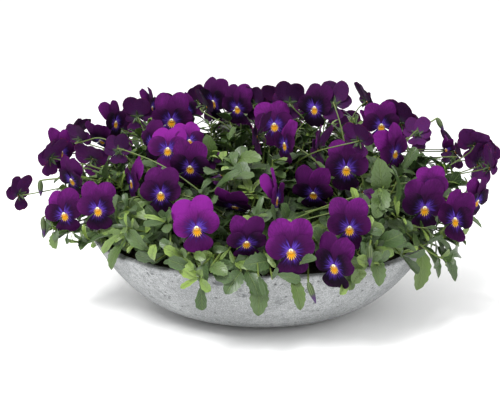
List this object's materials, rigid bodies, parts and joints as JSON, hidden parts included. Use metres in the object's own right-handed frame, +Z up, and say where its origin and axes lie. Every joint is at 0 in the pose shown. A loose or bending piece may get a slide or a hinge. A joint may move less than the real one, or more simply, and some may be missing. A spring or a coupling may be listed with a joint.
{
  "type": "potted viola planter",
  "caption": "Shallow round bowl planter of cast concrete, filled with potting soil and violas in full purple flower that spill over its rim.",
  "frame": {"origin": "middle of the flat foot of the bowl, on the ground", "axes": "+Z up, -Y to the front, +X to the right as seen from the front"},
  "size_m": [0.49, 0.3874, 0.2229],
  "materials": {
    "cast_concrete": "matt light grey cast concrete with fine pits",
    "potting_soil": null,
    "leaf_green": "living leaf, satin",
    "petal_violet": "velvety petal with a yellow eye"
  },
  "bodies": {
    "root": {"bloom_01": "petal_violet", "bloom_05": "petal_violet", "bloom_06": "petal_violet", "bloom_07": "petal_violet", "bloom_08": "petal_violet", "bloom_12": "petal_violet", "bloom_13": "petal_violet", "bloom_14": "petal_violet", "bloom_16": "petal_violet", "bloom_17": "petal_violet", "bloom_20": "petal_violet", "bloom_22": "petal_violet", "bloom_23": "petal_violet", "bloom_24": "petal_violet", "bloom_28": "petal_violet", "bloom_29": "petal_violet", "bloom_32": "petal_violet", "bloom_34": "petal_violet", "bloom_35": "petal_violet", "bloom_36": "petal_violet", "bloom_37": "petal_violet", "bloom_38": "petal_violet", "bloom_39": "petal_violet", "bloom_40": "petal_violet", "bloom_41": "petal_violet", "bloom_42": "petal_violet", "bloom_43": "petal_violet", "bloom_45": "petal_violet", "bloom_47": "petal_violet", "bloom_49": "petal_violet", "bloom_50": "petal_violet", "bloom_52": "petal_violet", "blooms_02": "petal_violet", "blooms_03": "petal_violet", "blooms_04": "petal_violet", "blooms_09": "petal_violet", "blooms_10": "petal_violet", "blooms_11": "petal_violet", "blooms_15": "petal_violet", "blooms_18": "petal_violet", "blooms_19": "petal_violet", "blooms_21": "petal_violet", "blooms_25": "petal_violet", "blooms_26": "petal_violet", "blooms_27": "petal_violet", "blooms_30": "petal_violet", "blooms_31": "petal_violet", "blooms_33": "petal_violet", "blooms_44": "petal_violet", "blooms_46": "petal_violet", "blooms_48": "petal_violet", "blooms_51": "petal_violet", "bowl": "cast_concrete", "soil": "potting_soil", "viola_plant_1": "leaf_green", "viola_plant_2": "leaf_green", "viola_plant_3": "leaf_green", "viola_plant_4": "leaf_green", "viola_plant_5": "leaf_green", "viola_plant_6": "leaf_green"}
  },
  "joints": []
}
